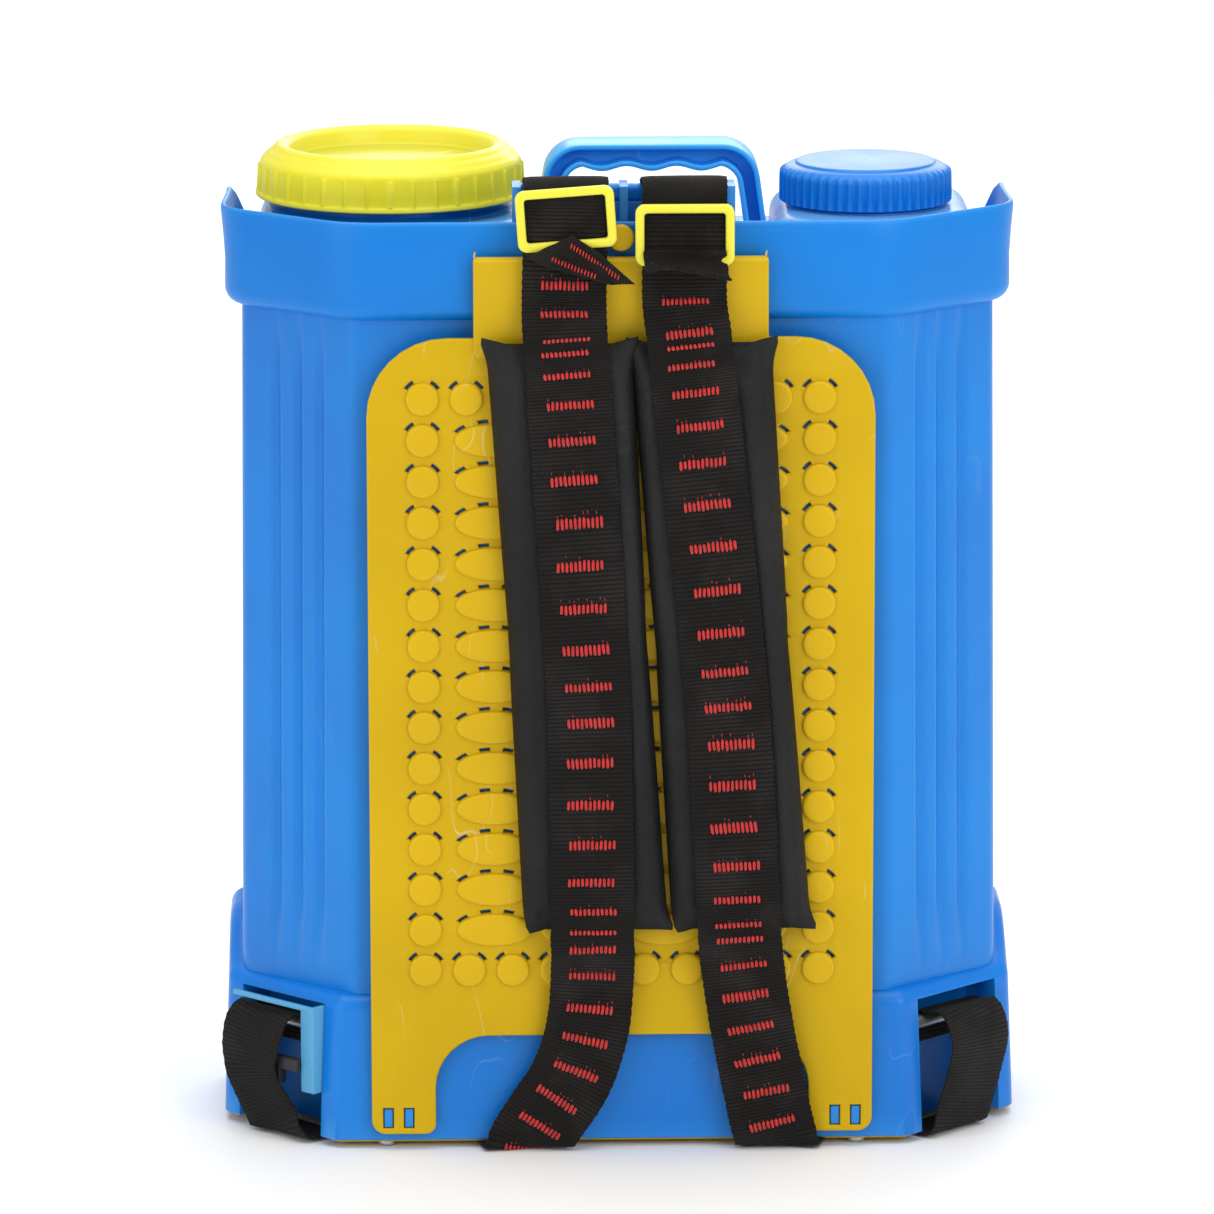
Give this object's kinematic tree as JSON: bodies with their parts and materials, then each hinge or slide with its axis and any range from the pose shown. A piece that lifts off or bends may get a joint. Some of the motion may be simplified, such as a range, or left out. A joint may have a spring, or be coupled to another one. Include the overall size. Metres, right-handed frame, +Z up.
{
  "type": "backpack sprayer",
  "caption": "Knapsack sprayer: translucent tank with splash collar, screw lids and carrying handle on a powered base, with a ventilated back plate and padded shoulder straps.",
  "frame": {"origin": "bottom centre of the whole sprayer, on the ground", "axes": "+Z up, -Y towards the wearer (the side with the back plate and the harness), +X to the right when looking at the harness"},
  "size_m": [0.3874, 0.2366, 0.478],
  "materials": {
    "tank_blue": "blow-moulded translucent polyethylene",
    "cap_blue": "satin moulded polypropylene",
    "lid_yellow": "satin moulded polypropylene",
    "plate_yellow": "satin moulded polypropylene",
    "clip_light_blue": "satin moulded plastic",
    "strainer_white": "moulded polypropylene",
    "black_plastic": "textured moulded plastic",
    "webbing": "woven polypropylene webbing",
    "pad_vinyl": "grained vinyl over foam",
    "rubber": "matte moulded rubber",
    "steel": "zinc-plated",
    "zinc_plate": "pressed and plated",
    "hose_clear": "clear soft hose",
    "gauge_clear": "clear polycarbonate",
    "switch_red": "gloss moulded",
    "wire_black": "sheathed lead"
  },
  "bodies": {
    "frame": {"tank": "tank_blue", "filler_neck": "cap_blue", "small_neck": "cap_blue", "filler_strainer": "strainer_white", "carry_handle": "cap_blue", "handle_screws": "steel", "strap_anchor": "cap_blue", "anchor_screws": "steel", "left_strap": "webbing", "right_strap": "webbing", "left_shoulder_pad": "pad_vinyl", "right_shoulder_pad": "pad_vinyl", "back_plate": "plate_yellow", "plate_stud": "plate_yellow", "base_housing": "cap_blue", "bottom_tray": "plate_yellow", "tray_screws": "steel", "left_corner_clip": "clip_light_blue", "left_strap_bar": "steel", "right_strap_bar": "steel", "left_strap_hook": "black_plastic", "left_corner_strap": "webbing", "right_corner_strap": "webbing", "battery": "black_plastic", "battery_clamp": "zinc_plate", "clamp_screws": "steel", "pump_cover": "black_plastic", "pump_diaphragm": "rubber", "pump_head": "black_plastic", "pump_motor": "zinc_plate", "pump_bracket": "zinc_plate", "pump_bushes": "rubber", "pump_screws": "steel", "tank_outlet": "black_plastic", "tank_outlet_nut": "black_plastic", "intake_filter": "strainer_white", "suction_hose": "hose_clear", "delivery_hose": "hose_clear", "outlet_fitting": "black_plastic", "outlet_nut": "black_plastic", "power_switch": "black_plastic", "battery_gauge": "black_plastic", "gauge_lens": "gauge_clear", "speed_control": "black_plastic", "charge_socket": "black_plastic", "battery_lead": "wire_black", "motor_lead": "wire_black"},
    "lid_seal": {"lid_gasket": "rubber"},
    "lid": {"filler_lid": "lid_yellow", "lid_breather": "rubber"},
    "cap_seal": {"small_cap_gasket": "rubber"},
    "cap": {"small_cap": "cap_blue"},
    "left_slide": {"left_buckle": "lid_yellow", "left_strap_tail": "webbing"},
    "right_slide": {"right_buckle": "lid_yellow", "right_strap_tail": "webbing"},
    "rocker": {"power_rocker": "switch_red"},
    "knob": {"pressure_knob": "lid_yellow"},
    "charge_cover": {"charge_cap": "black_plastic"},
    "rotor": {"pump_rotor": "steel"}
  },
  "joints": [
    {"name": "lid_lift", "type": "slide", "parent": "frame", "child": "lid_seal", "axis": [0, 0, 1], "range_m": [0, 0.08]},
    {"name": "lid_turn", "type": "hinge", "parent": "lid_seal", "child": "lid", "pos_m": [-0.109, 0.007, 0.4655], "axis": [0, 0, 1], "range_deg": [0, 450]},
    {"name": "cap_lift", "type": "slide", "parent": "frame", "child": "cap_seal", "axis": [0, 0, 1], "range_m": [0, 0.06]},
    {"name": "cap_turn", "type": "hinge", "parent": "cap_seal", "child": "cap", "pos_m": [0.121, 0.005, 0.4645], "axis": [0, 0, 1], "range_deg": [0, 450]},
    {"name": "left_buckle_slide", "type": "slide", "parent": "frame", "child": "left_slide", "axis": [0, 0, -1], "range_m": [0, 0.012]},
    {"name": "right_buckle_slide", "type": "slide", "parent": "frame", "child": "right_slide", "axis": [0, 0, -1], "range_m": [0, 0.012]},
    {"name": "power_rocker_tilt", "type": "hinge", "parent": "frame", "child": "rocker", "pos_m": [-0.03, 0.095, 0.051], "axis": [1, 0, 0], "range_deg": [-20, 0]},
    {"name": "pressure_knob_turn", "type": "hinge", "parent": "frame", "child": "knob", "pos_m": [0.06, 0.102, 0.051], "axis": [0, 1, 0], "range_deg": [0, 270]},
    {"name": "charge_cap_flip", "type": "hinge", "parent": "frame", "child": "charge_cover", "pos_m": [0.108, 0.1052, 0.062], "axis": [1, 0, 0], "range_deg": [0, 110]},
    {"name": "pump_spin", "type": "hinge", "parent": "frame", "child": "rotor", "pos_m": [-0.108, 0, 0.037], "axis": [1, 0, 0], "continuous": true}
  ]
}
